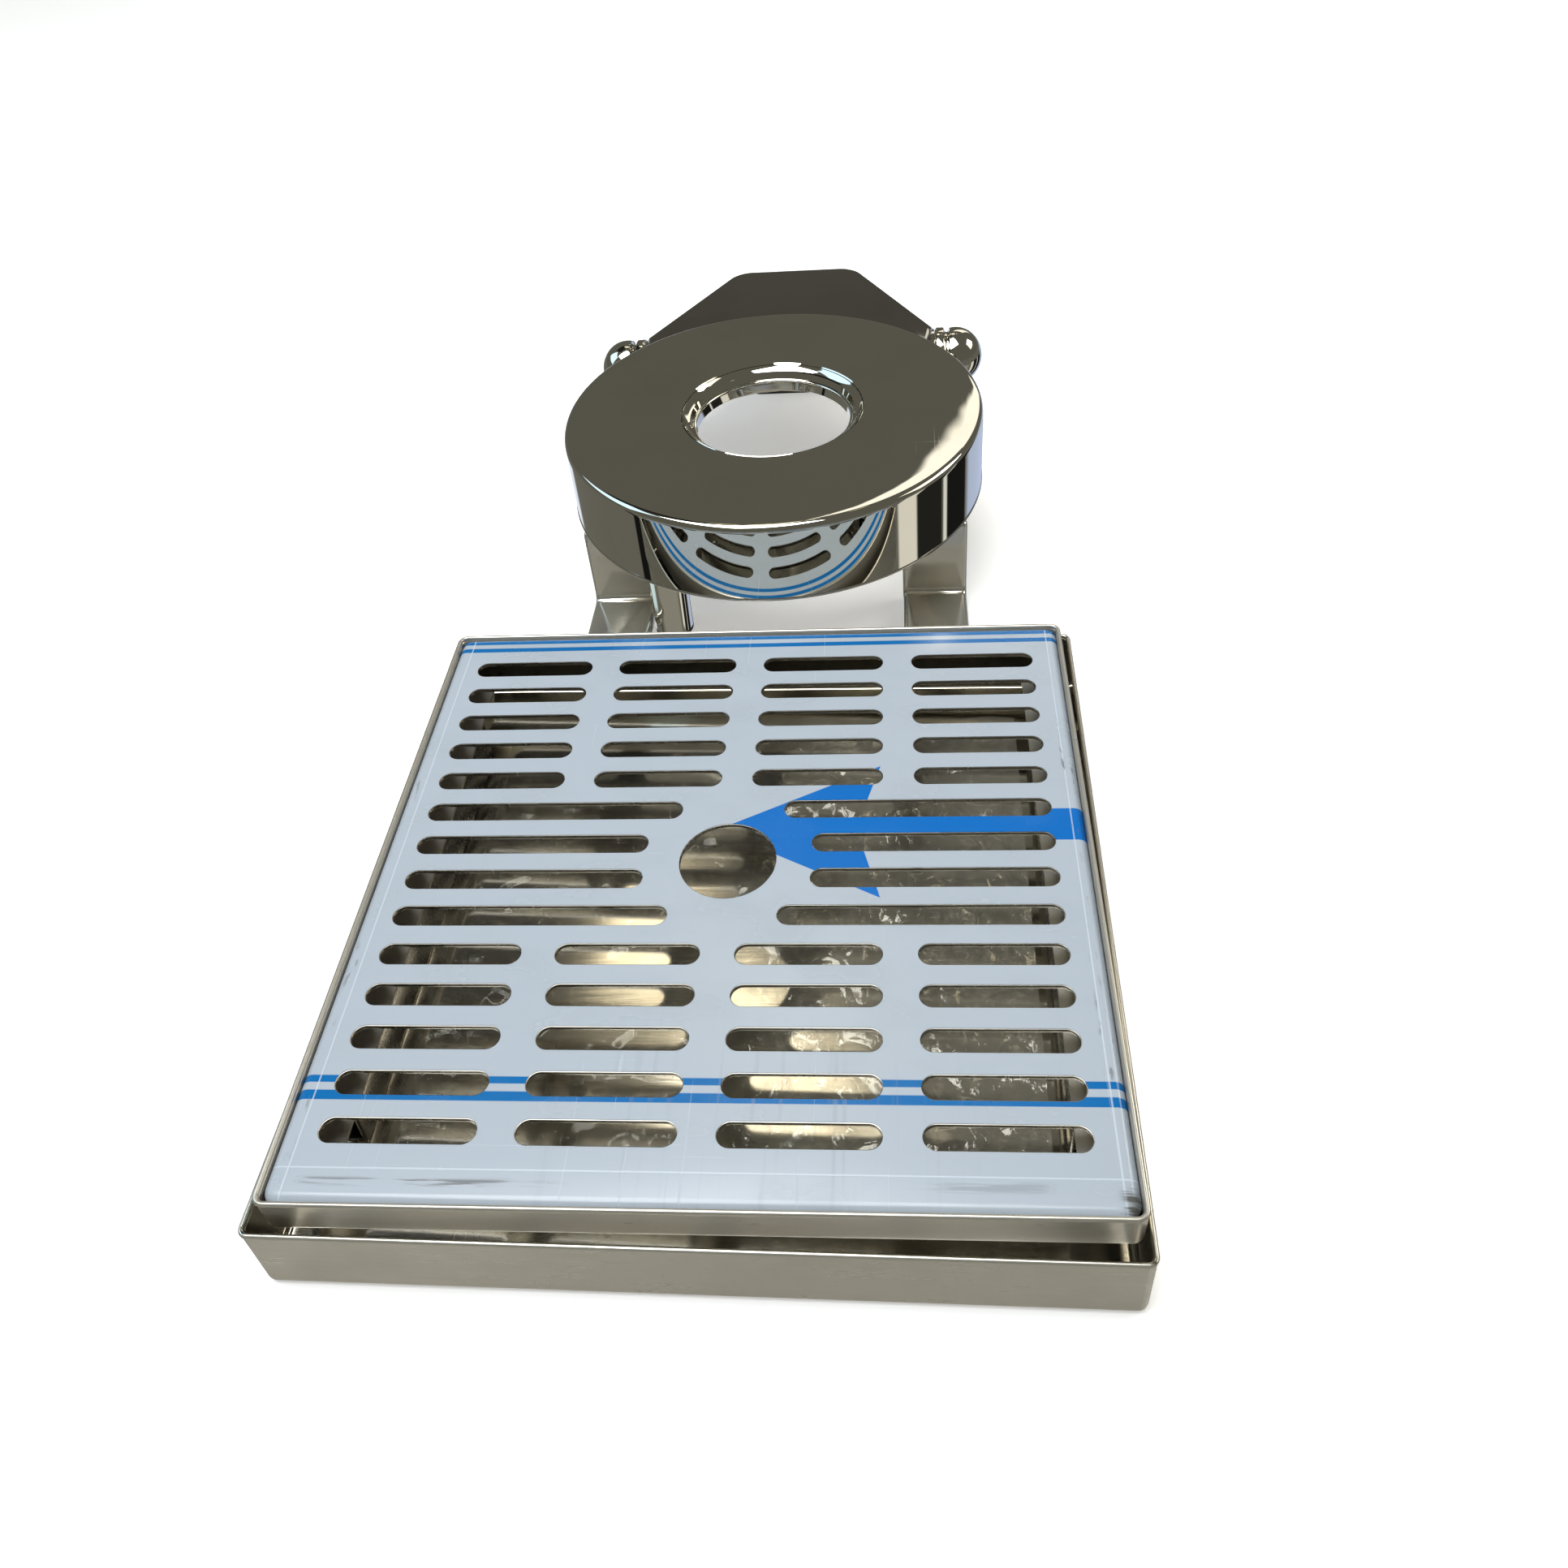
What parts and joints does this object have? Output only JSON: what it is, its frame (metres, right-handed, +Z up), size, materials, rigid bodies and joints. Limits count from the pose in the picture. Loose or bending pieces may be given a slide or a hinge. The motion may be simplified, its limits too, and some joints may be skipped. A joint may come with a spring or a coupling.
{
  "type": "fountain soda dispenser",
  "caption": "Ring-shaped mirror-polished dispensing head on strip legs with a rotary valve bar behind and a square lift-out drip tray in front.",
  "frame": {"origin": "bottom centre of the whole object, tray and head together, on the counter", "axes": "+Z up, +Y from the drip tray at the front towards the neck at the rear, +X to the right as seen from the front"},
  "size_m": [0.2246, 0.4779, 0.0705],
  "materials": {
    "mirror_steel": "mirror polished stainless steel",
    "satin_steel": "satin stainless steel",
    "printed_film": "white protective film with blue lines",
    "clear_wrap": "crumpled clear film",
    "black_rubber": "matt",
    "valve_brass": "machined",
    "white_ceramic": "lapped ceramic"
  },
  "bodies": {
    "head": {"ring_shell": "mirror_steel", "ring_collar": "mirror_steel", "flow_channel": "satin_steel", "mount_plate": "satin_steel", "left_leg": "mirror_steel", "right_leg": "mirror_steel", "left_pad": "black_rubber", "right_pad": "black_rubber", "supply_column": "mirror_steel", "column_seal": "black_rubber", "valve_bar": "mirror_steel", "left_cartridge": "valve_brass", "right_cartridge": "valve_brass", "left_stem_seal": "black_rubber", "right_stem_seal": "black_rubber", "neck_cowl": "mirror_steel", "neck_base": "satin_steel", "screw_front_left": "satin_steel", "screw_front_right": "satin_steel", "screw_rear_left": "satin_steel", "screw_rear_right": "satin_steel", "rear_post": "satin_steel", "rear_pad": "black_rubber", "left_feed_tube": "black_rubber", "right_feed_tube": "black_rubber", "left_inlet_barb": "valve_brass", "right_inlet_barb": "valve_brass", "outlet_pipe": "satin_steel"},
    "pan": {"outer_pan": "satin_steel", "left_rail": "satin_steel", "right_rail": "satin_steel", "pan_wrap": "clear_wrap"},
    "frame": {"inner_frame": "satin_steel"},
    "grille": {"grille_plate": "satin_steel", "grille_film": "printed_film"},
    "left_valve": {"left_knob": "mirror_steel", "left_stem": "valve_brass", "left_valve_disc": "white_ceramic"},
    "right_valve": {"right_knob": "mirror_steel", "right_stem": "valve_brass", "right_valve_disc": "white_ceramic"}
  },
  "joints": [
    {"name": "pan_slide", "type": "slide", "parent": "head", "child": "pan", "axis": [0, -1, 0], "range_m": [0, 0.12]},
    {"name": "frame_lift", "type": "slide", "parent": "pan", "child": "frame", "axis": [0, 0, 1], "range_m": [0, 0.05]},
    {"name": "grille_lift", "type": "slide", "parent": "frame", "child": "grille", "axis": [0, 0, 1], "range_m": [0, 0.05]},
    {"name": "left_knob_turn", "type": "hinge", "parent": "head", "child": "left_valve", "pos_m": [-0.072, 0.17134, 0.039], "axis": [-1, 0, 0], "range_deg": [0, 90]},
    {"name": "right_knob_turn", "type": "hinge", "parent": "head", "child": "right_valve", "pos_m": [0.08, 0.17134, 0.039], "axis": [1, 0, 0], "range_deg": [0, 90]}
  ]
}
